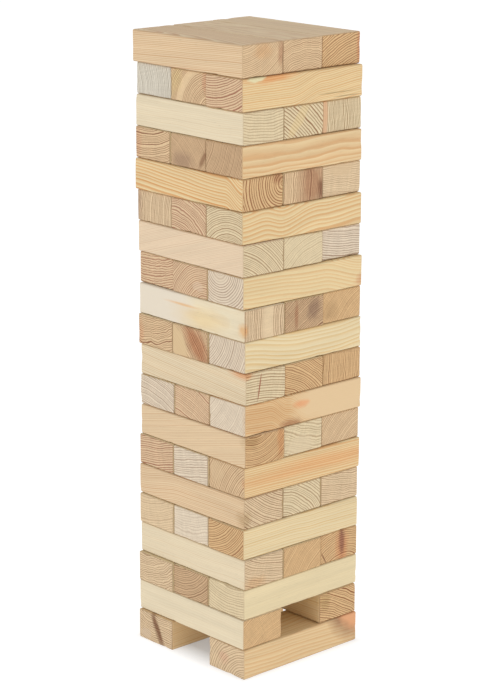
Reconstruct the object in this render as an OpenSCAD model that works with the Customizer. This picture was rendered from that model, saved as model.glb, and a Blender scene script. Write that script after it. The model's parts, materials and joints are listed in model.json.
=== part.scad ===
// Giant tumbling tower: loose pine blocks stacked crosswise in layers, three to a full layer.
// The two lowest layers stand on their outer blocks only.
// Origin: middle of the footprint, on the ground. +Z is up, and the odd layers run along Y.

/* [Blocks] */
// Length of a block
block_length = 150; // [120:1:225]
// Height of a block
block_height = 29.8; // [24:0.2:45]
// Air left between two blocks that lie side by side
side_gap = 0.5; // [0.2:0.1:2]
// Air left between two layers, whose planed faces touch only at their high spots
layer_gap = 0.2; // [0.1:0.1:0.5]
// Bevel planed along every edge of a block
edge_bevel = 1.2; // [0.4:0.1:3]

/* [Stack] */
// Number of layers
layers = 20; // [3:1:20]
// Layers at the bottom that lack their middle block
open_layers = 2; // [0:1:3]
// How much of each layer's own shift and turn is kept, from a square stack to one laid by hand
laid_loosely = 1; // [0:0.1:1]
// Most that a middle block strays along its length from the rest of its layer
middle_stray = 0.6; // [0:0.1:1]

/* [Hidden] */
// Three blocks side by side are as wide as one block is long.
seats_per_layer = 3;
seat_pitch = block_length / seats_per_layer;
block_width = seat_pitch - side_gap;
layer_pitch = block_height + layer_gap;

// How each layer was laid, lowest first: shift along X, shift along Y, turn in degrees, and how far
// its first and its last block stray along their length.
layer_laying = [
    [0, -0.5, 0.6, 2.5, -0.5],
    [-0.5, -1, 0.8, -0.5, 0],
    [-0.5, -0.5, 0.8, 1.5, 0],
    [0, 0, 0.4, 0.5, -1],
    [0, -0.5, 0.4, 0.5, 0.5],
    [-0.5, -0.5, 0.5, 0, -0.5],
    [0, 0, 0.1, 0.5, -0.5],
    [0, 0, 0, 1.5, -1.5],
    [0.5, 0.5, 0.2, 0, 0],
    [0, 0.5, 0, 1.5, -1],
    [-0.5, -0.5, 0.5, 0, -0.5],
    [0, -0.5, -0.2, 1, -1.5],
    [0, 0, -0.4, -1.5, 0.5],
    [-1, -0.5, -0.6, 1, -2.5],
    [-1, -0.5, -0.2, -0.5, 1],
    [-2, -2, 0.4, 0, -1],
    [-1.5, -1.5, 0, 0, 0.5],
    [-1.5, -1.5, -0.2, 0.5, -2],
    [-1, -1, 0.2, -1, 2],
    [-3, -3.5, 0.7, 0.5, -1.5],
];

// Fresh pine runs from pale cream to a warm resin orange.
pale_pine = [0.93, 0.84, 0.66];
warm_pine = [0.88, 0.68, 0.43];
stray_seed = 58;
tone_seed = 7;

function runs_along_y(layer) = layer % 2 == 1;
function seats(layer) = layer <= open_layers ? [0, 2] : [0, 1, 2];
function seat_name(layer, seat) =
    runs_along_y(layer) ? ["left", "middle", "right"][seat] : ["front", "middle", "back"][seat];
function two_digits(number) = str(number < 10 ? "0" : "", number);

// How far a block sits along its length from the middle of its layer
function stray(layer, seat) =
    seat == 1 ? middle_strays[layer - 1]
              : layer_laying[layer - 1][seat == 0 ? 3 : 4] * laid_loosely;

// Every block as its layer, counted from 1 at the ground, and its seat in that layer.
blocks = [for (layer = [1:layers]) for (seat = seats(layer)) [layer, seat]];
middle_strays = rands(-middle_stray, middle_stray, layers, stray_seed);
tones = rands(0, 1, len(blocks), tone_seed);

// A centred rectangle with its four corners cut off at 45 degrees.
module bevelled_rectangle(x_size, y_size) {
    x = x_size / 2;
    y = y_size / 2;
    c = edge_bevel;
    polygon([
        [x, y - c], [x - c, y], [c - x, y], [-x, y - c],
        [-x, c - y], [c - x, -y], [x - c, -y], [x, c - y],
    ]);
}

// A prism of that outline, centred and extruded along Z.
module bevelled_bar(x_size, y_size, length) {
    translate([0, 0, -length / 2])
        linear_extrude(length)
            bevelled_rectangle(x_size, y_size);
}

// One block, centred, its length along X. Each bar bevels the four edges along its own axis.
module block() {
    intersection() {
        bevelled_bar(block_length, block_width, block_height);
        rotate([90, 0, 0])
            bevelled_bar(block_length, block_height, block_width);
        rotate([0, 90, 0])
            bevelled_bar(block_height, block_width, block_length);
    }
}

// A block in its place in the stack. Seats are counted from the left, or from the front.
module laid_block(index) {
    layer = blocks[index][0];
    seat = blocks[index][1];
    laying = layer_laying[layer - 1] * laid_loosely;
    lean = runs_along_y(layer) ? -90 : 0;
    tone = tones[index];
    color(pale_pine * (1 - tone) + warm_pine * tone)
        translate([laying[0], laying[1], (layer - 1) * layer_pitch + block_height / 2])
            rotate(laying[2] + lean)
                translate([stray(layer, seat), (seat - 1) * seat_pitch, 0])
                    block();
}

for (index = [0:len(blocks) - 1])
    laid_block(index);
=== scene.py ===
"""Giant tumbling tower: planed pine blocks stacked crosswise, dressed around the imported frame.

Every block is one closed surface worked out with numpy, with its own cut of timber. Lengths in a
cut are millimetres, seen from the end that faces out of the tower's two front sides: depth runs in
from that end, right and up are measured from the middle of the block.
"""

from __future__ import annotations

import json
import logging
import math
from dataclasses import dataclass, field
from enum import Enum

import bpy
import numpy as np
from mathutils import Matrix, Vector

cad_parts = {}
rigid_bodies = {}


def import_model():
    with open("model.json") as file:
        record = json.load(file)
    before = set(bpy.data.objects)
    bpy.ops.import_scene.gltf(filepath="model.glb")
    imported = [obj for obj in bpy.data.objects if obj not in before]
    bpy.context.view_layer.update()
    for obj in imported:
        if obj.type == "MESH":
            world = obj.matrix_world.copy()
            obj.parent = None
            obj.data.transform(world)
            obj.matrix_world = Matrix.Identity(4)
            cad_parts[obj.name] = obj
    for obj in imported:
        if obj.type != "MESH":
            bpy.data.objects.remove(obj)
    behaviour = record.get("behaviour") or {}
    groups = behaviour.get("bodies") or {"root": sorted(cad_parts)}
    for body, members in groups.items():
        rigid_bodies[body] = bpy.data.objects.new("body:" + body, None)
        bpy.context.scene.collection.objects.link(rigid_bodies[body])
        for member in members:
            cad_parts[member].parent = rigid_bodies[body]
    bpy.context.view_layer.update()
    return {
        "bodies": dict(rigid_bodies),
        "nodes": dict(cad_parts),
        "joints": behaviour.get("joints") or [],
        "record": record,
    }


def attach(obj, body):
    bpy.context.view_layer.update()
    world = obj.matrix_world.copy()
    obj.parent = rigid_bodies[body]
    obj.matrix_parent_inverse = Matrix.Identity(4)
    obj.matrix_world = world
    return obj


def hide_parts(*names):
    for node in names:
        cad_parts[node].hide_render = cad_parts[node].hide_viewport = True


MM = 0.001
# How far apart the noise patterns of two blocks with neighbouring seeds start
SEED_STEP = 3.1
LOG = logging.getLogger("tumbling_tower")

Triple = tuple[float, float, float]
Pair = tuple[float, float]
Socket = bpy.types.NodeSocket
Feed = Socket | float


# ---------------------------------------------------------------- timber


class Tone(Enum):
    """Colour of pine, as its pale early wood and its darker late wood, in sRGB.

    The first six are planed faces and the rest are sawn ends.
    """

    CREAM = ((226, 212, 182), (204, 170, 126))
    BLUSH = ((228, 207, 177), (196, 152, 114))
    STRAW = ((226, 209, 169), (208, 166, 100))
    PEACH = ((225, 202, 165), (190, 138, 92))
    YELLOW = ((226, 205, 158), (206, 144, 80))
    HONEY = ((223, 196, 150), (200, 140, 82))
    ASH = ((218, 211, 195), (150, 136, 116))
    LIMED = ((223, 207, 183), (138, 100, 76))
    PALE = ((221, 203, 166), (136, 92, 54))
    TAN = ((221, 196, 159), (128, 80, 48))
    ROSE = ((218, 190, 153), (140, 70, 48))
    WARM = ((219, 190, 150), (126, 72, 40))
    AMBER = ((216, 181, 133), (132, 72, 32))
    UMBER = ((204, 172, 134), (116, 74, 44))


class MarkKind(Enum):
    """What a mark in the timber is, and how sharply its rim starts."""

    STAIN = 1.6
    PATCH = 3.0
    SHAKE = 6.0


@dataclass(frozen=True)
class Mark:
    """A stain, a pale patch or a drying crack: an ellipsoid somewhere in the block.

    Attributes:
        kind: What it is.
        centre: Depth, right and up of its middle, in millimetres.
        reach: Its half sizes along depth, right and up, in millimetres.
        colour: Its colour in sRGB.
        lean: Turn about the block's length, in degrees.
        strength: How much of its colour shows, from 0 to 1.
    """

    kind: MarkKind
    centre: Triple
    reach: Triple
    colour: Triple
    lean: float = 0.0
    strength: float = 0.8


@dataclass(frozen=True)
class Cut:
    """How one block was sawn out of its log.

    Attributes:
        pith: Right and up of the log's centre at the seen end, in millimetres.
        pitch: Distance from one growth ring to the next, in millimetres.
        end: Tone of the end grain.
        side: Tone of the long faces.
        slope: How far the log's centre drifts right and up for each millimetre of depth.
        side_pith: The log's centre as the long faces show it, where they don't follow the end.
        side_pitch: Distance from ring to ring behind the long faces, in millimetres.
        path: Where the log's centre bends away: depth and rise of some points along it, in millimetres.
        wave: How far the rings wander over a finger's width, in millimetres.
        sway: How far the grain snakes along the block, in millimetres.
        end_contrast: How dark the late wood is on the ends, from 0 to 1.
        side_contrast: How dark the late wood is on the long faces, from 0 to 1.
        calm: Distance from the log's centre and half width of a ring-free band, in millimetres.
        marks: Its stains, patches and cracks.
    """

    pith: Pair
    pitch: float
    end: Tone
    side: Tone = Tone.STRAW
    slope: Pair = (0.0, 0.0)
    side_pith: Pair | None = None
    side_pitch: float = 1.8
    path: tuple[Pair, ...] = ()
    wave: float = 1.6
    sway: float = 2.0
    end_contrast: float = 0.7
    side_contrast: float = 0.5
    calm: Pair | None = None
    marks: tuple[Mark, ...] = ()


def patch(centre: Triple, reach: Triple, colour: Triple, lean: float = 0.0, strength: float = 0.6) -> Mark:
    """A patch of plain wood, in which the rings fade away. Takes what stain() takes."""
    return Mark(MarkKind.PATCH, centre, reach, colour, lean, strength)


def stain(centre: Triple, reach: Triple, colour: Triple, lean: float = 0.0, strength: float = 0.5) -> Mark:
    """A soft-edged tint, through which the rings still show.

    Args:
        centre: Depth, right and up of its middle, in millimetres.
        reach: Its half sizes along depth, right and up, in millimetres.
        colour: Its colour in sRGB.
        lean: Turn about the block's length, in degrees.
        strength: How much of its colour shows, from 0 to 1.

    Returns:
        The mark.
    """
    return Mark(MarkKind.STAIN, centre, reach, colour, lean, strength)


CUTS: dict[str, Cut] = {
    "layer_01_left": Cut((10, 100), 2.0, Tone.TAN, Tone.HONEY, wave=3.0, end_contrast=0.9, marks=(
        stain((0, 3, 0), (60, 5.4, 28), (140, 102, 72), 28, 0.95),
        patch((0, -14, -8), (60, 9, 6), (208, 186, 160), 0, 0.5),
    )),
    "layer_01_right": Cut((30, -28), 2.3, Tone.TAN, Tone.HONEY, (0, -0.03), (-40, -60), 2.4, sway=1.0,
                          side_contrast=0.55, marks=(
        stain((0, -4, 0), (50, 9, 9), (216, 170, 140)),
        stain((150, 24, 20), (46, 5, 38), (150, 104, 70), 0, 1.0),
        patch((154, 24, 23), (35, 5, 31), (222, 162, 116), 0, 1.0),
    )),
    "layer_02_front": Cut((45, -90), 1.6, Tone.AMBER, Tone.CREAM, side_contrast=0.25, end_contrast=0.6),
    "layer_02_back": Cut((-50, -105), 2.1, Tone.AMBER, Tone.HONEY, end_contrast=1.0, marks=(
        stain((0, -18, 6), (60, 9, 12), (178, 148, 92)),
    )),
    "layer_03_left": Cut((-15, 60), 2.1, Tone.TAN, wave=4.0, end_contrast=0.8),
    "layer_03_middle": Cut((-20, 45), 1.9, Tone.UMBER, end_contrast=0.9),
    "layer_03_right": Cut((5, 75), 2.4, Tone.PALE, Tone.STRAW, side_contrast=0.2, end_contrast=0.55),
    "layer_04_front": Cut((35, 120), 2.0, Tone.TAN, Tone.CREAM, (0, -0.02), (-25, 70), 1.5,
                          end_contrast=0.8, side_contrast=0.5, marks=(
        stain((0, -12, -10), (14, 16, 9), (212, 168, 118)),
    )),
    "layer_04_middle": Cut((60, -55), 1.7, Tone.AMBER, end_contrast=0.7),
    "layer_04_back": Cut((5, -40), 2.0, Tone.AMBER, Tone.HONEY, end_contrast=0.9, marks=(
        stain((0, 4, -2), (40, 10, 26), (212, 148, 102), 0, 0.7),
        stain((0, 4, 4), (30, 5, 18), (158, 122, 98), 0, 0.9),
        Mark(MarkKind.SHAKE, (0, -20, -9), (10, 0.7, 8), (120, 76, 48), lean=30),
    )),
    "layer_05_left": Cut((-20, 90), 2.2, Tone.TAN, end_contrast=0.4),
    "layer_05_middle": Cut((-20, 110), 2.6, Tone.LIMED, wave=3.0, end_contrast=0.35),
    "layer_05_right": Cut((-33, 45), 2.0, Tone.AMBER, Tone.STRAW, (0, -0.02), (-25, -60), wave=1.0,
                          end_contrast=1.0, side_contrast=0.7),
    "layer_06_front": Cut((55, 95), 2.1, Tone.TAN, Tone.PEACH, (0, 0), (-30, 70), 1.6, wave=1.0, sway=1.0,
                          path=((0, 0), (90, 0), (150, -9)), end_contrast=0.9, side_contrast=0.8, marks=(
        stain((0, -22, -6), (14, 8, 12), (176, 146, 100)),
    )),
    "layer_06_middle": Cut((-35, -50), 2.4, Tone.PALE, end_contrast=0.8),
    "layer_06_back": Cut((60, 340), 2.0, Tone.TAN, wave=2.6, end_contrast=0.7),
    "layer_07_left": Cut((-60, 300), 2.1, Tone.ROSE, wave=1.4, end_contrast=1.0),
    "layer_07_middle": Cut((-60, 260), 2.3, Tone.LIMED, wave=2.0, end_contrast=0.7),
    "layer_07_right": Cut((60, -37), 1.9, Tone.WARM, Tone.YELLOW, (0, -0.03), (-20, -60), 1.8, wave=0.6,
                          sway=0.6, end_contrast=0.85, side_contrast=0.9, marks=(
        stain((90, 24, 0), (130, 5, 11), (226, 176, 120), 0, 0.6),
        patch((0, -14, 4), (60, 12, 12), (210, 182, 144), 0, 0.5),
    )),
    "layer_08_front": Cut((-12, 38), 1.8, Tone.AMBER, Tone.PEACH, (0, -0.24), (-25, -60), 1.6, wave=0.8,
                          sway=0.8, end_contrast=1.0, side_contrast=0.6, marks=(
        stain((0, 20, 4), (14, 6, 22), (212, 146, 90)),
        stain((0, -16, 10), (12, 14, 9), (174, 138, 88)),
    )),
    "layer_08_middle": Cut((40, 140), 2.5, Tone.PALE, wave=3.0, end_contrast=0.6, marks=(
        patch((0, -4, -6), (60, 20, 10), (216, 196, 162), 0, 0.6),
    )),
    "layer_08_back": Cut((55, -60), 1.8, Tone.WARM, end_contrast=0.75),
    "layer_09_left": Cut((-25, -90), 1.8, Tone.LIMED, end_contrast=0.8),
    "layer_09_middle": Cut((-35, -95), 2.0, Tone.ROSE, end_contrast=0.8),
    "layer_09_right": Cut((-60, 40), 1.7, Tone.LIMED, Tone.HONEY, (0, 0), (-30, -60), 1.5, wave=0.8,
                          sway=1.0, path=((0, 0), (30, -2), (55, -16), (80, -30)), end_contrast=0.5,
                          side_contrast=0.9, marks=(
        patch((122, 24, 2), (70, 5, 30), (223, 193, 150), 0, 0.95),
        stain((57, 24, -14), (17, 5, 8), (176, 134, 94), 0, 0.9),
        stain((71, 24, 4), (13, 5, 5), (228, 164, 112), 0, 0.8),
        stain((20, 24, 0), (50, 5, 22), (208, 166, 112), 0, 0.4),
    )),
    "layer_10_front": Cut((-20, -160), 2.4, Tone.PALE, Tone.CREAM, (0, 0.08), (-25, -70), 1.7, wave=0.8,
                          sway=0.8, end_contrast=0.9, side_contrast=1.0, marks=(
        Mark(MarkKind.SHAKE, (0, -8, 0), (10, 0.9, 14), (150, 84, 60), lean=-10),
        stain((2, -24, 15), (26, 10, 7), (224, 166, 118), 0, 0.8),
    )),
    "layer_10_middle": Cut((-45, -75), 1.9, Tone.AMBER, end_contrast=1.0),
    "layer_10_back": Cut((120, 0), 2.0, Tone.AMBER, Tone.HONEY, wave=2.0, end_contrast=0.9),
    "layer_11_left": Cut((-10, 60), 1.9, Tone.WARM, wave=4.0, end_contrast=0.9, marks=(
        stain((0, -22, -4), (60, 7, 16), (218, 164, 124)),
    )),
    "layer_11_middle": Cut((-70, -60), 2.0, Tone.WARM, wave=2.4, end_contrast=1.0, marks=(
        patch((0, -18, -2), (60, 14, 24), (214, 186, 144), 30, 0.9),
        stain((0, 10, 0), (60, 15, 32), (186, 126, 86), 40, 0.8),
    )),
    "layer_11_right": Cut((-50, 25), 2.0, Tone.LIMED, Tone.STRAW, (0, 0), (-60, -60), 2.8, wave=0.8,
                          sway=1.0, path=((0, 0), (70, -10), (120, -10), (150, -8)), end_contrast=0.8,
                          side_contrast=0.7),
    "layer_12_front": Cut((80, 0), 2.1, Tone.TAN, Tone.CREAM, wave=2.2, side_contrast=0.15, calm=(76, 7),
                          end_contrast=0.9, marks=(
        patch((118, -24, 2), (60, 5, 30), (225, 213, 194), 0, 0.9),
        stain((58, -24, -3), (50, 5, 13), (226, 200, 150), 0, 0.7),
        stain((86, -24, 5), (30, 5, 1.6), (224, 178, 122), 0, 0.8),
        stain((2, -24, -4), (8, 5, 8), (224, 178, 122), 0, 0.8),
    )),
    "layer_12_middle": Cut((60, -105), 1.7, Tone.UMBER, end_contrast=1.0, marks=(
        stain((0, 12, 3), (60, 10, 14), (150, 120, 98), -20, 0.7),
        stain((0, -10, 0), (60, 3, 20), (168, 116, 82), 0, 0.6),
    )),
    "layer_12_back": Cut((60, -60), 1.6, Tone.AMBER, end_contrast=0.7, marks=(
        stain((0, -14, -4), (60, 12, 12), (182, 150, 108)),
    )),
    "layer_13_left": Cut((-20, 140), 2.3, Tone.ROSE, wave=3.0, end_contrast=1.0),
    "layer_13_middle": Cut((22, -30), 1.9, Tone.ROSE, end_contrast=0.9, marks=(
        patch((0, 12, -4), (60, 9, 5), (212, 186, 158), 0, 0.5),
    )),
    "layer_13_right": Cut((-8, 18), 2.4, Tone.LIMED, Tone.YELLOW, (0, -0.02), (-60, -60), 2.2, wave=1.0,
                          sway=1.0,
                          path=((0, 0), (100, -3), (150, -14)), end_contrast=0.8, side_contrast=0.5, marks=(
        patch((0, -8, 12), (60, 11, 8), (218, 200, 174), 0, 0.6),
        stain((150, 22, -9), (14, 5, 9), (200, 148, 108), 0, 0.8),
    )),
    "layer_14_front": Cut((-45, -60), 1.9, Tone.PALE, Tone.BLUSH, (0, -0.3), (-25, 80), 1.4, wave=0.6,
                          sway=0.8, end_contrast=0.8, side_contrast=0.5),
    "layer_14_middle": Cut((30, -60), 2.0, Tone.PALE, end_contrast=0.4),
    "layer_14_back": Cut((50, 400), 2.2, Tone.LIMED, end_contrast=0.9),
    "layer_15_left": Cut((120, -10), 1.9, Tone.TAN, wave=2.4, end_contrast=0.9, marks=(
        stain((0, -23, 0), (60, 6, 24), (184, 156, 130), 0, 0.6),
    )),
    "layer_15_middle": Cut((-20, -45), 2.2, Tone.ROSE, wave=2.6, end_contrast=1.0),
    "layer_15_right": Cut((8, -40), 1.9, Tone.PALE, Tone.YELLOW, (0, 0), (-60, -55), 2.0, wave=1.4,
                          sway=1.2,
                          path=((0, 0), (28, 3), (50, -2), (100, 7), (150, 11)), end_contrast=0.9,
                          side_contrast=0.8),
    "layer_16_front": Cut((24, 18), 2.8, Tone.AMBER, Tone.YELLOW, (0, 0), (-50, -50), 2.8, wave=1.2,
                          sway=1.2,
                          path=((0, -12), (24, 0), (150, 8)), end_contrast=1.0, side_contrast=1.0, marks=(
        stain((0, 18, 12), (60, 9, 8), (166, 112, 76), 0, 0.6),
    )),
    "layer_16_middle": Cut((-190, 10), 2.1, Tone.WARM, wave=3.0, marks=(
        stain((0, 12, 0), (60, 22, 32), (168, 116, 82), 0, 0.7),
        stain((0, 23, -6), (60, 6, 14), (136, 92, 64), 0, 0.7),
    )),
    "layer_16_back": Cut((-30, -280), 1.7, Tone.TAN, end_contrast=0.55, marks=(
        patch((0, -2, 10), (60, 18, 8), (210, 182, 144), 0, 0.6),
    )),
    "layer_17_left": Cut((-15, 80), 1.9, Tone.WARM, end_contrast=1.0, marks=(
        stain((0, -21, 0), (60, 7, 20), (214, 166, 130), 0, 0.5),
    )),
    "layer_17_middle": Cut((-60, -60), 1.4, Tone.UMBER, end_contrast=0.6, marks=(
        stain((0, -8, -9), (60, 20, 12), (160, 130, 106), 0, 0.6),
        stain((0, 21, -4), (60, 4, 14), (142, 102, 70), -30, 0.7),
    )),
    "layer_17_right": Cut((-110, 45), 1.6, Tone.UMBER, Tone.HONEY, (0, 0.01), (-90, 50), 2.3, sway=2.6,
                          end_contrast=0.8, side_contrast=0.7),
    "layer_18_front": Cut((5, 130), 2.6, Tone.PALE, Tone.CREAM, (0, -0.01), end_contrast=0.6,
                          side_contrast=0.35),
    "layer_18_middle": Cut((-90, -105), 2.8, Tone.PALE, end_contrast=1.0, marks=(
        patch((0, -6, 2), (60, 6, 24), (220, 194, 142), -38, 0.45),
    )),
    "layer_18_back": Cut((150, 10), 1.9, Tone.PALE, end_contrast=0.95, marks=(
        patch((0, -23, 0), (60, 5, 30), (220, 168, 128), 0, 0.6),
    )),
    "layer_19_left": Cut((-120, -20), 1.8, Tone.ASH, end_contrast=1.0),
    "layer_19_middle": Cut((34, -26), 1.7, Tone.WARM, end_contrast=0.95, calm=(48, 4), marks=(
        stain((0, -18, 4), (60, 10, 22), (220, 196, 140), -25, 0.6),
        stain((0, 23, 6), (60, 6, 14), (206, 150, 118), 0, 0.5),
    )),
    "layer_19_right": Cut((-20, 75), 2.2, Tone.ROSE, Tone.YELLOW, (0, 0), (-20, 75), 1.7, wave=1.0,
                          sway=1.6, path=((0, 0), (58, 0), (100, 11), (150, 15)), end_contrast=1.0,
                          side_contrast=0.8, marks=(
        stain((34, 26, 15), (40, 12, 8), (224, 164, 104), 0, 0.8),
        patch((17, 26, 15), (13, 12, 5), (222, 210, 166), 0, 1.0),
        Mark(MarkKind.SHAKE, (116, 24, -8), (24, 5, 0.6), (150, 124, 80), strength=0.6),
        Mark(MarkKind.SHAKE, (130, 24, -12), (18, 5, 0.6), (140, 112, 76), strength=0.6),
    )),
    "layer_20_front": Cut((-25, 45), 1.7, Tone.WARM, Tone.PEACH, (0, -0.05), (-25, 60), 1.6, wave=0.9,
                          sway=0.8, end_contrast=0.65, side_contrast=0.8, marks=(
        stain((0, 0, 8), (14, 14, 10), (216, 170, 120)),
        stain((0, 22, 4), (50, 5, 16), (170, 116, 84)),
    )),
    "layer_20_middle": Cut((5, -60), 1.6, Tone.WARM, Tone.PEACH, wave=3.0, end_contrast=0.8),
    "layer_20_back": Cut((38, -85), 2.2, Tone.AMBER, Tone.PEACH, end_contrast=1.0, marks=(
        stain((0, 23, 0), (50, 4, 24), (196, 120, 84)),
    )),
}


# ---------------------------------------------------------------- finish


def linear(colour: Triple) -> tuple[float, float, float, float]:
    """A colour for a shader.

    Args:
        colour: Red, green and blue in sRGB, from 0 to 255.

    Returns:
        The same colour in linear light, with an alpha of 1.
    """
    share = np.asarray(colour, float) / 255.0
    light = np.where(share <= 0.04045, share / 12.92, ((share + 0.055) / 1.055) ** 2.4)
    return (float(light[0]), float(light[1]), float(light[2]), 1.0)


class Bench:
    """A material's node tree while it is being wired, with a short call for each kind of node."""

    def __init__(self, material: bpy.types.Material) -> None:
        """Clears the tree of the material and keeps it.

        Args:
            material: The material to wire.
        """
        material.use_nodes = True
        self.tree = material.node_tree
        self.tree.nodes.clear()

    def plug(self, socket: Socket, feed: Feed | tuple[float, ...]) -> None:
        """Links a socket, or sets it.

        Args:
            socket: The input to feed.
            feed: An output to link, or a plain value.
        """
        if isinstance(feed, Socket):
            self.tree.links.new(feed, socket)
        else:
            socket.default_value = feed

    def node(self, kind: str, **settings: object) -> bpy.types.Node:
        """A new node.

        Args:
            kind: Blender's name of the node's type.
            settings: Properties to set on it.

        Returns:
            The node.
        """
        made = self.tree.nodes.new(kind)
        for name, setting in settings.items():
            setattr(made, name, setting)
        return made

    def math(self, operation: str, a: Feed, b: Feed = 0.0, clamp: bool = False) -> Socket:
        """One step of arithmetic.

        Args:
            operation: Blender's name of the operation.
            a: First number.
            b: Second number, where the operation has one.
            clamp: Whether the result is kept from 0 to 1.

        Returns:
            The result.
        """
        made = self.node("ShaderNodeMath", operation=operation, use_clamp=clamp)
        self.plug(made.inputs[0], a)
        self.plug(made.inputs[1], b)
        return made.outputs[0]

    def attribute(self, name: str) -> bpy.types.Node:
        """The node that reads one of the mesh's own attributes."""
        return self.node("ShaderNodeAttribute", attribute_type="GEOMETRY", attribute_name=name)

    def stretched(self, vector: Socket, cell: Triple, start: float) -> Socket:
        """Coordinates in which a cell of the given size measures one.

        Args:
            vector: Coordinates in millimetres.
            cell: Size of a cell in millimetres.
            start: A number that moves the pattern, so that no two blocks share it.

        Returns:
            The new coordinates.
        """
        made = self.node("ShaderNodeVectorMath", operation="MULTIPLY_ADD")
        self.plug(made.inputs[0], vector)
        self.plug(made.inputs[1], (1 / cell[0], 1 / cell[1], 1 / cell[2]))
        self.plug(made.inputs[2], (start, start * 1.7, start * 0.6))
        return made.outputs[0]

    def noise(self, vector: Socket, detail: float) -> Socket:
        """Smooth noise from about -0.5 to 0.5 in space.

        Args:
            vector: Coordinates whose cells measure one.
            detail: How many finer layers of noise are added.

        Returns:
            The noise.
        """
        made = self.node("ShaderNodeTexNoise", noise_dimensions="3D")
        self.plug(made.inputs["Vector"], vector)
        self.plug(made.inputs["Scale"], 1.0)
        self.plug(made.inputs["Detail"], detail)
        return self.math("SUBTRACT", made.outputs["Fac"], 0.5)

    def noise_on_line(self, place: Socket) -> Socket:
        """Smooth noise from about -0.5 to 0.5 along a line.

        Args:
            place: Where on the line. A swell of noise measures one.

        Returns:
            The noise.
        """
        made = self.node("ShaderNodeTexNoise", noise_dimensions="1D")
        self.plug(made.inputs["W"], place)
        self.plug(made.inputs["Scale"], 1.0)
        self.plug(made.inputs["Detail"], 1.0)
        return self.math("SUBTRACT", made.outputs["Fac"], 0.5)

    def blend(self, share: Feed, a: Socket | tuple[float, ...], b: Socket | tuple[float, ...]) -> Socket:
        """A mix of two colours.

        Args:
            share: 0 for the first colour, 1 for the second.
            a: First colour.
            b: Second colour.

        Returns:
            The mixed colour.
        """
        made = self.node("ShaderNodeMix", data_type="RGBA", clamp_factor=True)
        self.plug(made.inputs["Factor"], share)
        self.plug(made.inputs[6], a)
        self.plug(made.inputs[7], b)
        return made.outputs[2]

    def mix_numbers(self, share: Feed, a: Feed, b: Feed) -> Socket:
        """A mix of two numbers.

        Args:
            share: 0 for the first number, 1 for the second.
            a: First number.
            b: Second number.

        Returns:
            The mixed number.
        """
        made = self.node("ShaderNodeMix", data_type="FLOAT", clamp_factor=True)
        self.plug(made.inputs["Factor"], share)
        self.plug(made.inputs[2], a)
        self.plug(made.inputs[3], b)
        return made.outputs[0]

    def scaled(self, colour: Socket, times: Feed) -> Socket:
        """A colour made lighter or darker.

        Args:
            colour: The colour.
            times: The factor.

        Returns:
            The new colour.
        """
        made = self.node("ShaderNodeVectorMath", operation="SCALE")
        self.plug(made.inputs[0], colour)
        self.plug(made.inputs["Scale"], times)
        return made.outputs[0]

    def curve(self, place: Feed, stops: tuple[Pair, ...]) -> Socket:
        """A smooth curve through given points.

        Args:
            place: Where on the curve, from 0 to 1.
            stops: Place and height of each point.

        Returns:
            The curve's height.
        """
        made = self.node("ShaderNodeValToRGB")
        ramp = made.color_ramp
        ramp.interpolation = "EASE"
        while len(ramp.elements) < len(stops):
            ramp.elements.new(0.5)
        for element, (position, height) in zip(ramp.elements, stops):
            element.position = position
            element.color = (height, height, height, 1.0)
        self.plug(made.inputs[0], place)
        return made.outputs[0]


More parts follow.
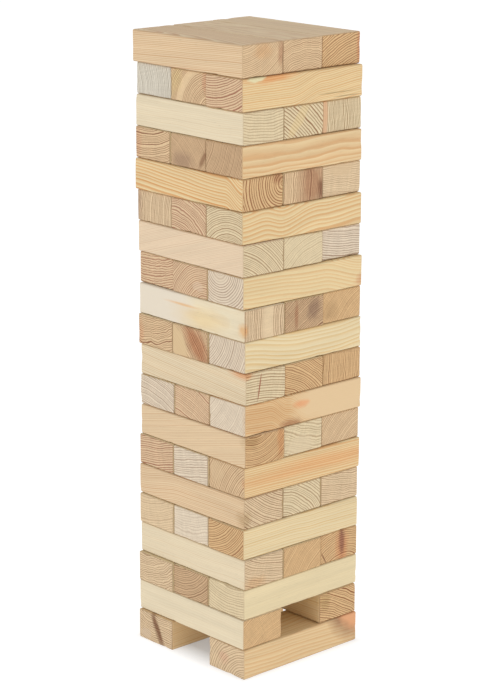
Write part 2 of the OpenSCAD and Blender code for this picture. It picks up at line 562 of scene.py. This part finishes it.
@dataclass(frozen=True)
class PineFinish:
    """Planed, unfinished pine, as a solid log that the block's surfaces cut through.

    Rings are shells around the pith. Early wood is pale and late wood is dark, with a soft rise and
    a sharp fall. Fibres run along the log, and on the ends they show as specks and fine rays.

    A cell is the size of one swell of noise, along the log and across it, in millimetres.

    Attributes:
        cut: How the block was sawn.
        seed: A number that is different for every block.
        spacing_drift: How far the rings drift from even spacing, in rings.
        drift_rate: Swells of that drift for each ring.
        fibre_cell: Cell of the fine fibres.
        board_cell: Cell of the broad change of tone.
        wander_cell: Cell in which the rings wander.
        snake_cell: Cell in which the grain snakes.
        fleck_cell: Cell of the short dark flecks.
        mark_cell: Cell of a mark's uneven rim, in shares of the mark's size.
        mark_wobble: How uneven that rim is.
        faintest_ring: Strength of the faintest ring, where the strongest has 1.
        rays_per_radian: Swells of the fine rays in a radian round the pith.
        side_fibre: How much fibres change the light of a long face.
        end_fibre: How much they change the light of an end.
        end_rays: How much rays change the light of an end.
        board_light: How much the broad change of tone does, anywhere.
        fleck_floor: Noise below which there is no fleck.
        fleck_edge: How sharply a fleck starts.
        fleck_dark: How much a fleck darkens the wood.
        side_roughness: Roughness of a planed face.
        end_roughness: Roughness of a sawn end.
        sheen: Specular level of dry wood.
        relief: Height of the bumps, in metres.
        bump_strength: How strongly they show.
        late_relief: How far late wood stands proud, where a fibre counts 1.
        painted_shade: How much painted shade darkens the arrises where two blocks meet, from 0 to 1.
        painted_shade_patches: How much the fibres break that painted shade up.
        painted_shade_colour: Colour of the painted shade, in sRGB.
    """

    cut: Cut
    seed: float
    spacing_drift: float = 1.6
    drift_rate: float = 0.3
    fibre_cell: Triple = (34.0, 0.9, 0.9)
    board_cell: Triple = (110.0, 9.0, 9.0)
    wander_cell: Triple = (70.0, 16.0, 16.0)
    snake_cell: Triple = (55.0, 45.0, 45.0)
    fleck_cell: Triple = (7.0, 0.7, 0.7)
    mark_cell: Triple = (0.6, 0.6, 0.6)
    mark_wobble: float = 0.7
    faintest_ring: float = 0.65
    rays_per_radian: float = 60.0
    side_fibre: float = 0.16
    end_fibre: float = 0.34
    end_rays: float = 0.14
    board_light: float = 0.22
    fleck_floor: float = 0.14
    fleck_edge: float = 6.0
    fleck_dark: float = 0.11
    side_roughness: float = 0.58
    end_roughness: float = 0.82
    sheen: float = 0.35
    relief: float = 0.12 * MM
    bump_strength: float = 0.5
    late_relief: float = 0.5
    painted_shade: float = 0.62
    painted_shade_patches: float = 0.5
    painted_shade_colour: Triple = (104, 54, 24)

    def material(self, name: str) -> bpy.types.Material:
        """The finished material.

        Args:
            name: Name of the new material.

        Returns:
            The material, wired.
        """
        made = bpy.data.materials.new(name)
        bench = Bench(made)
        log = bench.attribute("log").outputs["Vector"]
        end = bench.attribute("end_grain").outputs["Fac"]
        depths = [self.mark_depth(bench, number) for number in range(len(self.cut.marks))]
        radius, phase = self.ring_phase(bench, log, end)
        late = self.late_wood(bench, phase, radius, end)
        fibre = bench.noise(bench.stretched(log, self.fibre_cell, self.seed), 3.0)
        board = bench.noise(bench.stretched(log, self.board_cell, self.seed + 5), 2.0)
        colour = self.wood_colour(bench, log, late, end, fibre, board)
        for mark, depth in zip(self.cut.marks, depths):
            colour = self.marked(bench, colour, mark, depth)
        # Painted shade on the arrises where blocks meet
        colour = self.with_painted_joint_shade(bench, colour, fibre)
        shader = bench.node("ShaderNodeBsdfPrincipled")
        bench.plug(shader.inputs["Base Color"], colour)
        roughness = bench.mix_numbers(end, self.side_roughness, self.end_roughness)
        bench.plug(shader.inputs["Roughness"], roughness)
        shader.inputs["Specular IOR Level"].default_value = self.sheen
        height = bench.math("ADD", bench.math("MULTIPLY", late, self.late_relief), fibre)
        bump = bench.node("ShaderNodeBump")
        bump.inputs["Strength"].default_value = self.bump_strength
        bump.inputs["Distance"].default_value = self.relief
        bench.plug(bump.inputs["Height"], height)
        bench.plug(shader.inputs["Normal"], bump.outputs["Normal"])
        output = bench.node("ShaderNodeOutputMaterial")
        bench.plug(output.inputs["Surface"], shader.outputs["BSDF"])
        return made

    def mark_depth(self, bench: Bench, number: int) -> Socket:
        """How deep inside a mark a point is: 1 in its middle, 0 on its rim, negative outside.

        Args:
            bench: The tree.
            number: Which of the block's marks it is.

        Returns:
            The depth.
        """
        place = bench.attribute(f"mark_{number}").outputs["Vector"]
        length = bench.node("ShaderNodeVectorMath", operation="LENGTH")
        bench.plug(length.inputs[0], place)
        wander = bench.noise(bench.stretched(place, self.mark_cell, self.seed), 3.0)
        rough = bench.math("MULTIPLY", wander, self.mark_wobble)
        return bench.math("SUBTRACT", 1.0, bench.math("ADD", length.outputs["Value"], rough))

    def ring_phase(self, bench: Bench, log: Socket, end: Socket) -> tuple[Socket, Socket]:
        """Which ring a point lies in, and how far through it.

        The distance from the pith, plus a slow wander, over the ring pitch. The pitch itself drifts.

        Args:
            bench: The tree.
            log: Coordinates in the log, in millimetres.
            end: 1 on end grain, 0 on a long face.

        Returns:
            The distance from the pith in millimetres, wander and all, and the number of rings from it.
        """
        flat = bench.node("ShaderNodeVectorMath", operation="MULTIPLY")
        bench.plug(flat.inputs[0], log)
        bench.plug(flat.inputs[1], (0.0, 1.0, 1.0))
        radius = bench.node("ShaderNodeVectorMath", operation="LENGTH")
        bench.plug(radius.inputs[0], flat.outputs[0])
        wander = bench.noise(bench.stretched(log, self.wander_cell, self.seed + 2), 2.0)
        snake = bench.noise(bench.stretched(log, self.snake_cell, self.seed + 8), 1.0)
        wandering = bench.math("MULTIPLY", wander, 2 * self.cut.wave)
        shifted = bench.math("ADD", radius.outputs["Value"], wandering)
        shifted = bench.math("ADD", shifted, bench.math("MULTIPLY", snake, 2 * self.cut.sway))
        pitch = bench.mix_numbers(end, self.cut.side_pitch, self.cut.pitch)
        phase = bench.math("DIVIDE", shifted, pitch)
        swell = bench.math("MULTIPLY", phase, self.drift_rate)
        drift = bench.noise_on_line(bench.math("ADD", swell, self.seed))
        return shifted, bench.math("ADD", phase, bench.math("MULTIPLY", drift, self.spacing_drift))

    def late_wood(
        self,
        bench: Bench,
        phase: Socket,
        radius: Socket,
        end: Socket,
    ) -> Socket:
        """How much late wood there is: a thin dark line on an end, a broad soft band on a long face.

        Args:
            bench: The tree.
            phase: The number of rings from the pith.
            radius: The distance from the pith, in millimetres.
            end: 1 on end grain, 0 on a long face.

        Returns:
            The share of late wood, from 0 to 1, with some rings stronger than others.
        """
        through = bench.math("FRACT", phase)
        line = bench.curve(through, ((0.0, 0.0), (0.45, 0.08), (0.8, 1.0), (0.93, 0.9), (1.0, 0.0)))
        band = bench.curve(through, ((0.0, 0.0), (0.4, 0.35), (0.78, 1.0), (0.93, 0.8), (1.0, 0.0)))
        late = bench.mix_numbers(end, band, line)
        ring = bench.node("ShaderNodeTexWhiteNoise", noise_dimensions="1D")
        bench.plug(ring.inputs["W"], bench.math("FLOOR", phase))
        spread = bench.math("MULTIPLY", ring.outputs["Value"], 1 - self.faintest_ring)
        vigour = bench.math("ADD", spread, self.faintest_ring)
        late = bench.math("MULTIPLY", late, vigour)
        if self.cut.calm is not None:
            middle, half_width = self.cut.calm
            away = bench.math("DIVIDE", bench.math("SUBTRACT", radius, middle), half_width)
            gone = bench.math("EXPONENT", bench.math("MULTIPLY", bench.math("POWER", away, 4.0), -1.0))
            late = bench.math("MULTIPLY", late, bench.math("SUBTRACT", 1.0, gone))
        return late

    def wood_colour(
        self,
        bench: Bench,
        log: Socket,
        late: Socket,
        end: Socket,
        fibre: Socket,
        board: Socket,
    ) -> Socket:
        """Colour of clear wood.

        Args:
            bench: The tree.
            log: Coordinates in the log, in millimetres.
            late: How much late wood there is.
            end: 1 on end grain, 0 on a long face.
            fibre: Fine noise along the fibres.
            board: Broad noise along the board.

        Returns:
            The colour.
        """
        side_late = bench.math("MULTIPLY", late, self.cut.side_contrast)
        end_late = bench.math("MULTIPLY", late, self.cut.end_contrast)
        side = bench.blend(side_late, linear(self.cut.side.value[0]), linear(self.cut.side.value[1]))
        sawn = bench.blend(end_late, linear(self.cut.end.value[0]), linear(self.cut.end.value[1]))
        clear = bench.blend(end, side, sawn)
        parts = bench.node("ShaderNodeSeparateXYZ")
        bench.plug(parts.inputs[0], log)
        turn = bench.math("ARCTAN2", parts.outputs[2], parts.outputs[1])
        rays = bench.noise_on_line(bench.math("MULTIPLY", turn, self.rays_per_radian))
        fibre_share = bench.mix_numbers(end, self.side_fibre, self.end_fibre)
        ray_share = bench.math("MULTIPLY", end, self.end_rays)
        light = bench.math("ADD", 1.0, bench.math("MULTIPLY", fibre, fibre_share))
        light = bench.math("ADD", light, bench.math("MULTIPLY", board, self.board_light))
        light = bench.math("ADD", light, bench.math("MULTIPLY", rays, ray_share))
        flecks = bench.noise(bench.stretched(log, self.fleck_cell, self.seed + 11), 1.0)
        above = bench.math("SUBTRACT", flecks, self.fleck_floor)
        flecks = bench.math("MULTIPLY", above, self.fleck_edge, clamp=True)
        light = bench.math("SUBTRACT", light, bench.math("MULTIPLY", flecks, self.fleck_dark))
        return bench.scaled(clear, light)

    def with_painted_joint_shade(
        self, bench: Bench, colour: Socket, fibre: Socket
    ) -> Socket:
        """The colour darkened by painted shade on the arrises where two blocks meet, standing in for the
        shade in the gaps.

        Args:
            bench: The tree.
            colour: Colour of the wood so far.
            fibre: Fine noise along the fibres.

        Returns:
            The new colour.
        """
        # Painted shade: a dark brown laid on the arrises between blocks, broken up by the fibres.
        joint_shade = bench.attribute("joint_shade").outputs["Fac"]
        patchy = bench.math("ADD", self.painted_shade, bench.math("MULTIPLY", fibre, self.painted_shade_patches))
        return bench.blend(bench.math("MULTIPLY", joint_shade, patchy), colour, linear(self.painted_shade_colour))

    def marked(
        self, bench: Bench, colour: Socket, mark: Mark, depth: Socket
    ) -> Socket:
        """The colour with one mark laid over it. A stain tints the wood, and any other mark covers it.

        Args:
            bench: The tree.
            colour: Colour of the wood so far.
            mark: The mark.
            depth: Depth inside the mark.

        Returns:
            The new colour.
        """
        cover = bench.math("MULTIPLY", depth, mark.kind.value, clamp=True)
        cover = bench.math("MULTIPLY", cover, mark.strength)
        paint: Socket | tuple[float, ...] = linear(mark.colour)
        if mark.kind is MarkKind.STAIN:
            tone = self.cut.end if mark.centre[0] == 0 else self.cut.side
            tint = bench.node("ShaderNodeVectorMath", operation="MULTIPLY")
            bench.plug(tint.inputs[0], colour)
            early = linear(tone.value[0])[:3]
            ratio = tuple(part / bare for part, bare in zip(linear(mark.colour), early))
            bench.plug(tint.inputs[1], ratio)
            paint = tint.outputs[0]
        return bench.blend(cover, colour, paint)


# ---------------------------------------------------------------- blocks


@dataclass(frozen=True)
class JointShade:
    """How painted shade sits on the arrises round a block, darkest under it and between neighbours where
    the gaps fall in shade, each share from 0 to 1.

    Attributes:
        full_at: How far a normal parts from its axis, as 1 less the cosine, where the painted shade is
            full.
        gather: Power that draws the painted shade to the middle of the arris.
        under: Share on an arris of the underside.
        above: Share on an arris of the top.
        corner: Share on an upright arris at the tower's outside.
        between: Share on any other upright arris.
        level_from: How much of a normal points up or down on a level arris, at least.
    """

    full_at: float = 0.27
    gather: float = 1.6
    under: float = 1.0
    above: float = 0.35
    corner: float = 0.1
    between: float = 0.8
    level_from: float = 0.2


@dataclass
class TimberBlock:
    """One loose block: a bar with rounded arrises, small knocks and its own cut of timber.

    Attributes:
        node: The CAD node that it stands for.
        body: The CAD body that it rides on.
        slot: The record's material slot, which is not used.
        layer: Its layer, counted from 1 at the ground.
        cut: How it was sawn.
        seed: Number from which its knocks and its unevenness are drawn.
        arris: Radius of its rounded arrises.
        arris_waver: How much that radius wavers, as a share of it.
        waver_length: Typical length of a waver.
        waves: How many sine waves make the waver.
        face_spacing: Distance between grid lines along the block, to the right and up.
        arc_degrees: Angles at which an arris has grid lines, short of its middle at 45.
        air: How far its top and underside stand back from the CAD solid's.
        knocks: How many dents it has.
        dent_radius: Least and greatest radius of a dent, in millimetres.
        dent_depth: Least and greatest depth of a dent, in millimetres.
        end_from: Share of a normal along the block above which a point turns to end grain.
        end_over: Share over which it turns.
        joint_shading: How painted shade sits on its arrises where it meets other blocks.
        centre: Its middle, in metres.
        axes: Its own axes as rows: out of the seen end, to the right, and up.
        half: Its half sizes along those axes, in metres.
    """

    node: str
    body: str
    slot: str
    layer: int
    cut: Cut
    seed: int
    arris: float = 1.5 * MM
    arris_waver: float = 0.3
    waver_length: float = 30 * MM
    waves: int = 6
    face_spacing: Triple = (3.0 * MM, 2.6 * MM, 2.6 * MM)
    arc_degrees: tuple[float, ...] = (15.0, 30.0)
    air: float = 0.06 * MM
    knocks: int = 9
    dent_radius: Pair = (1.2, 3.6)
    dent_depth: Pair = (0.15, 0.7)
    end_from: float = 0.45
    end_over: float = 0.4
    joint_shading: JointShade = JointShade()
    centre: np.ndarray = field(init=False)
    axes: np.ndarray = field(init=False)
    half: np.ndarray = field(init=False)

    def measure(self, corners: np.ndarray) -> None:
        """Finds the block's middle, its axes and its half sizes from the CAD solid's corners.

        The long axis is the direction in which the corners spread most, pointing out of the tower's
        front for an odd layer and out of its right side for an even one.

        Args:
            corners: Points of the CAD solid, one row each.
        """
        self.centre = (corners.min(0) + corners.max(0)) / 2
        spread = corners - self.centre
        _, directions = np.linalg.eigh(spread.T @ spread)
        out = directions[:, 2]
        front = np.array((0.0, -1.0, 0.0)) if self.layer % 2 else np.array((1.0, 0.0, 0.0))
        out = out * np.sign(out @ front)
        out[2] = 0.0
        out /= np.linalg.norm(out)
        up = np.array((0.0, 0.0, 1.0))
        self.axes = np.stack((out, np.cross(up, out), up))
        self.half = np.abs(spread @ self.axes.T).max(0) - np.array((0.0, 0.0, self.air))

    def stops(self, axis: int) -> tuple[np.ndarray, np.ndarray]:
        """Grid lines across the block along one axis.

        Args:
            axis: 0 along the block, 1 to the right, 2 up.

        Returns:
            For each line, its share of the flat half size, from -1 to 1, and the tangent of the
            angle that it has turned round an arris, from -1 to 1.
        """
        cells = round(2 * self.half[axis] / self.face_spacing[axis])
        flat = np.linspace(-1.0, 1.0, cells + 1)
        bend = np.tan(np.radians((*self.arc_degrees, 45.0)))
        rim = np.ones_like(bend)
        share = np.concatenate((-rim, flat, rim))
        turn = np.concatenate((-bend[::-1], np.zeros_like(flat), bend))
        return share, turn

    def surface(self) -> tuple[np.ndarray, np.ndarray, np.ndarray]:
        """The block's closed surface as a grid wrapped round a box.

        A point is share * (half - arris) + arris * turn / |turn|: the flats come from share, and each
        arris is a quarter round because turn, once it is scaled to length one, sweeps from one
        face's normal to the next.

        Returns:
            Points in the block's own axes, outward normals, and the corners of every quad.
        """
        shares, turns = zip(*(self.stops(axis) for axis in range(3)))
        counts = tuple(len(share) for share in shares)
        index = np.indices(counts)
        last = np.array(counts).reshape(3, 1, 1, 1) - 1
        skin = ((index == 0) | (index == last)).any(0)
        number = np.full(counts, -1)
        number[skin] = np.arange(skin.sum())
        share = np.stack([shares[axis][index[axis][skin]] for axis in range(3)], 1)
        turn = np.stack([turns[axis][index[axis][skin]] for axis in range(3)], 1)
        normals = turn / np.linalg.norm(turn, axis=1, keepdims=True)
        radius = self.arris * (1 + self.arris_waver * self.waver(share * self.half))[:, None]
        points = share * (self.half - radius) + radius * normals
        quads = []
        for axis in range(3):
            for side in (0, -1):
                sheet = np.take(number, side, axis=axis)
                if (side == 0) != (axis == 1):
                    sheet = sheet.T
                quads.append(np.stack((sheet[:-1, :-1], sheet[1:, :-1], sheet[1:, 1:], sheet[:-1, 1:]), -1))
        return points, normals, np.concatenate([quad.reshape(-1, 4) for quad in quads])

    def waver(self, points: np.ndarray) -> np.ndarray:
        """Slow unevenness from -1 to 1: the mean of some sine waves in random directions.

        Args:
            points: Where to take it, one row each, in metres.

        Returns:
            One number for each point.
        """
        draw = np.random.default_rng(self.seed)
        waves = draw.normal(size=(3, self.waves)) * 2 * math.pi / self.waver_length / math.sqrt(3)
        return np.sin(points @ waves + draw.uniform(0, 2 * math.pi, self.waves)).mean(1)

    def knocked(self, points: np.ndarray, normals: np.ndarray) -> np.ndarray:
        """The points after handling: small round dents along the arrises.

        Each dent pushes the surface in by depth * exp(-distance^2 / (2 * radius^2)).

        Args:
            points: Points of the surface.
            normals: Their outward normals.

        Returns:
            The moved points.
        """
        draw = np.random.default_rng(self.seed + 1000)
        spots = draw.uniform(-1, 1, (self.knocks, 3))
        edge = draw.integers(0, 3, self.knocks)
        snapped = np.where(spots < 0, -1.0, 1.0)
        keep = np.arange(3)[None, :] == edge[:, None]
        spots = np.where(keep, spots, snapped) * self.half
        radius = draw.uniform(*self.dent_radius, self.knocks) * MM
        depth = draw.uniform(*self.dent_depth, self.knocks) * MM
        apart = np.linalg.norm(points[:, None, :] - spots[None, :, :], axis=2)
        dent = (depth * np.exp(-(apart**2) / (2 * radius**2))).sum(1)
        return points - normals * dent[:, None]

    def build(self) -> bpy.types.Object:
        """Makes the block's mesh, in place, with the attributes that its finish reads.

        Returns:
            The new object.
        """
        points, normals, quads = self.surface()
        points = self.knocked(points, normals)
        mesh = bpy.data.meshes.new(f"{self.node}_timber")
        mesh.from_pydata(self.centre + points @ self.axes, [], quads.tolist())
        mesh.polygons.foreach_set("use_smooth", np.ones(len(quads), bool))
        self.note(mesh, points, normals)
        made = bpy.data.objects.new(f"{self.node}_timber", mesh)
        bpy.context.scene.collection.objects.link(made)
        return made

    def note(self, mesh: bpy.types.Mesh, points: np.ndarray, normals: np.ndarray) -> None:
        """Writes where each point lies in the log and in each mark, its painted shade where blocks meet and
        its end grain.

        Args:
            mesh: The block's mesh.
            points: Its points in the block's own axes.
            normals: Their outward normals.
        """
        place = points / MM * np.array((-1.0, 1.0, 1.0))
        place[:, 0] += self.half[0] / MM
        end = np.clip((np.abs(normals[:, 0]) - self.end_from) / self.end_over, 0, 1)
        drift = place[:, :1] * np.array(self.cut.slope)
        drift[:, 1] += self.bend(place[:, 0])
        end_pith = np.array(self.cut.pith, float)
        side_pith = np.array(self.cut.side_pith or self.cut.pith, float)
        pith = side_pith + end[:, None] * (end_pith - side_pith)
        self.write(mesh, "log", np.concatenate((place[:, :1], place[:, 1:] - pith - drift), 1))
        for number, mark in enumerate(self.cut.marks):
            turn = math.radians(mark.lean)
            away = place - np.array(mark.centre)
            right = away[:, 1] * math.cos(turn) + away[:, 2] * math.sin(turn)
            up = away[:, 2] * math.cos(turn) - away[:, 1] * math.sin(turn)
            self.write(mesh, f"mark_{number}", np.stack((away[:, 0], right, up), 1) / np.array(mark.reach))
        joint_shade = mesh.attributes.new("joint_shade", "FLOAT", "POINT")
        joint_shade.data.foreach_set("value", self.joint_shade(normals).astype(np.float32))
        mesh.attributes.new("end_grain", "FLOAT", "POINT").data.foreach_set("value", end.astype(np.float32))

    def bend(self, depth: np.ndarray) -> np.ndarray:
        """How far the log's centre has risen at each depth, in millimetres.

        Between two points of the path the rise follows t * t * (3 - 2 * t).

        Args:
            depth: Distance from the seen end, in millimetres.

        Returns:
            The rise.
        """
        if not self.cut.path:
            return np.zeros_like(depth)
        stops, rises = np.array(self.cut.path, float).T
        leg = np.clip(np.searchsorted(stops, depth) - 1, 0, len(stops) - 2)
        t = np.clip((depth - stops[leg]) / (stops[leg + 1] - stops[leg]), 0, 1)
        return rises[leg] + (rises[leg + 1] - rises[leg]) * t * t * (3 - 2 * t)

    def joint_shade(self, normals: np.ndarray) -> np.ndarray:
        """How much painted shade each point gets on an arris where two blocks meet, from 0 to 1.

        Args:
            normals: Outward normals in the block's own axes, which part from an axis on an arris only.

        Returns:
            One number for each point.
        """
        joint_shading = self.joint_shading
        outer = {"left": -1, "front": -1, "right": 1, "back": 1}.get(self.node.split("_")[2], 0)
        # Painted shade: full under a block and between neighbours, faint on top and at the tower's outer
        # corners.
        arris = np.clip((1 - np.abs(normals).max(1)) / joint_shading.full_at, 0, 1) ** joint_shading.gather
        level = np.where(normals[:, 2] < 0, joint_shading.under, joint_shading.above)
        upright = np.where(np.sign(normals[:, 1]) == outer, joint_shading.corner, joint_shading.between)
        return arris * np.where(np.abs(normals[:, 2]) > joint_shading.level_from, level, upright)

    @staticmethod
    def write(mesh: bpy.types.Mesh, name: str, vectors: np.ndarray) -> None:
        """Stores one vector for each point of a mesh.

        Args:
            mesh: The mesh.
            name: Name under which its finish reads them.
            vectors: The vectors, one row each.
        """
        attribute = mesh.attributes.new(name, "FLOAT_VECTOR", "POINT")
        attribute.data.foreach_set("vector", vectors.astype(np.float32).ravel())

    def dress(self, made: bpy.types.Object) -> None:
        """Gives the block its finish and ties it to the frame.

        Args:
            made: The block's object.
        """
        finish = PineFinish(self.cut, SEED_STEP * self.seed)
        made.data.materials.append(finish.material(f"pine_{self.node}"))
        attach(made, self.body)
        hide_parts(self.node)


@dataclass
class Tower:
    """The stack: every block of the frame, from the ground up.

    Attributes:
        first_seed: Number from which the blocks' own seeds count up.
    """

    frame: dict
    first_seed: int = 41

    def blocks(self) -> list[TimberBlock]:
        """Finds the blocks.

        Returns:
            One block for each CAD node, measured.
        """
        record = self.frame["record"]
        slots = {part["node"]: part["material_slot"] for part in record["subparts"]}
        bodies = {node: body for body, nodes in record["behaviour"]["bodies"].items() for node in nodes}
        found = []
        for number, node in enumerate(sorted(self.frame["nodes"])):
            layer = int(node.split("_")[1])
            seed = self.first_seed + number
            block = TimberBlock(node, bodies[node], slots[node], layer, CUTS[node], seed)
            solid = self.frame["nodes"][node].data
            corners = np.empty(3 * len(solid.vertices))
            solid.vertices.foreach_get("co", corners)
            block.measure(corners.reshape(-1, 3))
            found.append(block)
        return found

    def build(self) -> None:
        """Builds and dresses every block."""
        for block in self.blocks():
            made = block.build()
            block.dress(made)
            LOG.info("%s: %d faces", made.name, len(made.data.polygons))


# ---------------------------------------------------------------- studio


def bearing(azimuth: float, elevation: float) -> Vector:
    """The direction from the tower towards a place in the studio.

    Args:
        azimuth: Degrees round from the front towards the right side.
        elevation: Degrees above level.

    Returns:
        A vector of length one.
    """
    around, above = math.radians(azimuth), math.radians(elevation)
    level = math.cos(above)
    return Vector((math.sin(around) * level, -math.cos(around) * level, math.sin(above)))


@dataclass(frozen=True)
class Viewpoint:
    """The camera, aimed at a height on the tower's own axis.

    Attributes:
        azimuth: Degrees round from the front towards the right side.
        elevation: Degrees above level.
        roll: Degrees that the camera is tipped to the left.
        distance: Metres to the point aimed at.
        aim_height: Metres from the ground to the point aimed at.
        lens: Focal length in millimetres, on the default 36 mm sensor.
    """

    azimuth: float = 47.75
    elevation: float = 15.3
    roll: float = 0.28
    distance: float = 2.176
    aim_height: float = 0.2946
    lens: float = 117.2

    def place(self) -> None:
        """Puts the camera in the scene, and makes it the one that is used."""
        back = bearing(self.azimuth, self.elevation)
        right = Vector((0.0, 0.0, 1.0)).cross(back).normalized()
        turn = Matrix((right, back.cross(right), back)).transposed()
        camera = bpy.data.cameras.new("camera")
        camera.lens = self.lens
        made = bpy.data.objects.new("camera", camera)
        bpy.context.scene.collection.objects.link(made)
        rolled = turn @ Matrix.Rotation(math.radians(self.roll), 3, "Z")
        spot = back * self.distance + Vector((0, 0, self.aim_height))
        made.matrix_world = Matrix.Translation(spot) @ rolled.to_4x4()
        bpy.context.scene.camera = made


@dataclass(frozen=True)
class Softbox:
    """A large square area light.

    Attributes:
        name: Its name.
        azimuth: Degrees round from the front towards the right side.
        elevation: Degrees above level, seen from the tower's middle.
        distance: Metres from the tower's middle.
        width: Side of the square, in metres.
        watts: Its power.
    """

    name: str
    azimuth: float
    elevation: float
    distance: float
    width: float
    watts: float

    def hang(self, aim: Vector) -> None:
        """Puts the light in the scene, facing a point.

        Args:
            aim: The point.
        """
        back = bearing(self.azimuth, self.elevation)
        light = bpy.data.lights.new(self.name, "AREA")
        light.shape = "SQUARE"
        light.size = self.width
        light.energy = self.watts
        made = bpy.data.objects.new(self.name, light)
        bpy.context.scene.collection.objects.link(made)
        facing = back.to_track_quat("Z", "Y").to_matrix().to_4x4()
        made.matrix_world = Matrix.Translation(aim + back * self.distance) @ facing


@dataclass(frozen=True)
class Studio:
    """A white room: pale floor, white surroundings that grow greyer overhead, and softboxes.

    Attributes:
        floor_half: Half the side of the square floor, in metres.
        floor_albedo: How much light the floor gives back.
        floor_roughness: Its roughness.
        floor_sheen: Its specular level.
        floor_glow: Its own glow, away from the tower.
        shaded_glow: Its own glow under the tower, kept low so that the floor there is painted shadow.
        footprint_half: Half the side of the shaded square, in metres.
        shade_width: Metres over which the glow would go all the way from one to the other.
        shade_start: How much of the way it has gone at the square's edge, from 0 to 1.
        horizon: Brightness of the surroundings at eye level and below.
        zenith: Their brightness overhead.
        fade: Heights of a direction between which they fade, from 0 for level to 1 for straight up.
        aim_height: Metres above the ground at which the softboxes point.
        boxes: The softboxes.
    """

    floor_half: float = 6.0
    floor_albedo: float = 0.45
    floor_roughness: float = 0.9
    floor_sheen: float = 0.1
    floor_glow: float = 0.78
    shaded_glow: float = 0.28
    footprint_half: float = 0.078
    shade_width: float = 0.03
    shade_start: float = 0.8
    horizon: float = 1.0
    zenith: float = 0.52
    fade: Pair = (0.12, 0.6)
    aim_height: float = 0.3
    boxes: tuple[Softbox, ...] = (
        Softbox("right_box", 110.0, 35.0, 2.4, 1.4, 10.0),
        Softbox("left_box", -15.0, 35.0, 2.4, 1.8, 10.0),
    )

    def build(self) -> None:
        """Makes the floor, the surroundings and the lights."""
        self.lay_floor()
        self.paint_surroundings()
        for box in self.boxes:
            box.hang(Vector((0.0, 0.0, self.aim_height)))

    def lay_floor(self) -> None:
        """A level square of pale floor, which glows so that it stays white, and glows less under the tower
        as painted shadow.
        """
        half = self.floor_half
        mesh = bpy.data.meshes.new("floor")
        corners = [(-half, -half, 0), (half, -half, 0), (half, half, 0), (-half, half, 0)]
        mesh.from_pydata(corners, [], [(0, 1, 2, 3)])
        floor = bpy.data.objects.new("floor", mesh)
        bpy.context.scene.collection.objects.link(floor)
        paint = bpy.data.materials.new("pale_floor")
        bench = Bench(paint)
        shader = bench.node("ShaderNodeBsdfPrincipled")
        shader.inputs["Base Color"].default_value = (self.floor_albedo,) * 3 + (1.0,)
        shader.inputs["Roughness"].default_value = self.floor_roughness
        shader.inputs["Specular IOR Level"].default_value = self.floor_sheen
        shader.inputs["Emission Color"].default_value = (1.0, 1.0, 1.0, 1.0)
        # Painted shadow: the glow drops over a square the size of the tower's base.
        place = bench.node("ShaderNodeTexCoord").outputs["Object"]
        away = bench.node("ShaderNodeVectorMath", operation="ABSOLUTE")
        bench.plug(away.inputs[0], place)
        parts = bench.node("ShaderNodeSeparateXYZ")
        bench.plug(parts.inputs[0], away.outputs[0])
        farther = bench.math("MAXIMUM", parts.outputs[0], parts.outputs[1])
        outside = bench.math("SUBTRACT", farther, self.footprint_half)
        way = bench.math("DIVIDE", outside, self.shade_width)
        open_floor = bench.math("ADD", way, self.shade_start, clamp=True)
        glow = bench.mix_numbers(open_floor, self.shaded_glow, self.floor_glow)
        bench.plug(shader.inputs["Emission Strength"], glow)
        output = bench.node("ShaderNodeOutputMaterial")
        bench.plug(output.inputs["Surface"], shader.outputs["BSDF"])
        mesh.materials.append(paint)

    def paint_surroundings(self) -> None:
        """White at eye level and below, fading to grey overhead."""
        world = bpy.data.worlds.new("studio")
        bpy.context.scene.world = world
        world.use_nodes = True
        tree = world.node_tree
        tree.nodes.clear()
        direction = tree.nodes.new("ShaderNodeTexCoord")
        parts = tree.nodes.new("ShaderNodeSeparateXYZ")
        tree.links.new(direction.outputs["Generated"], parts.inputs[0])
        fade = tree.nodes.new("ShaderNodeMapRange")
        fade.inputs["From Min"].default_value = self.fade[0]
        fade.inputs["From Max"].default_value = self.fade[1]
        fade.inputs["To Min"].default_value = self.horizon
        fade.inputs["To Max"].default_value = self.zenith
        tree.links.new(parts.outputs[2], fade.inputs["Value"])
        glow = tree.nodes.new("ShaderNodeBackground")
        glow.inputs["Color"].default_value = (1.0, 1.0, 1.0, 1.0)
        tree.links.new(fade.outputs["Result"], glow.inputs["Strength"])
        output = tree.nodes.new("ShaderNodeOutputWorld")
        tree.links.new(glow.outputs[0], output.inputs["Surface"])


def main() -> None:
    """Loads the frame, places the camera and the studio, and builds the tower."""
    logging.basicConfig(level=logging.INFO, format="%(name)s: %(message)s")
    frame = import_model()
    bpy.context.scene.view_settings.view_transform = "Standard"
    Viewpoint().place()
    Studio().build()
    Tower(frame).build()


if __name__ == "__main__":
    main()
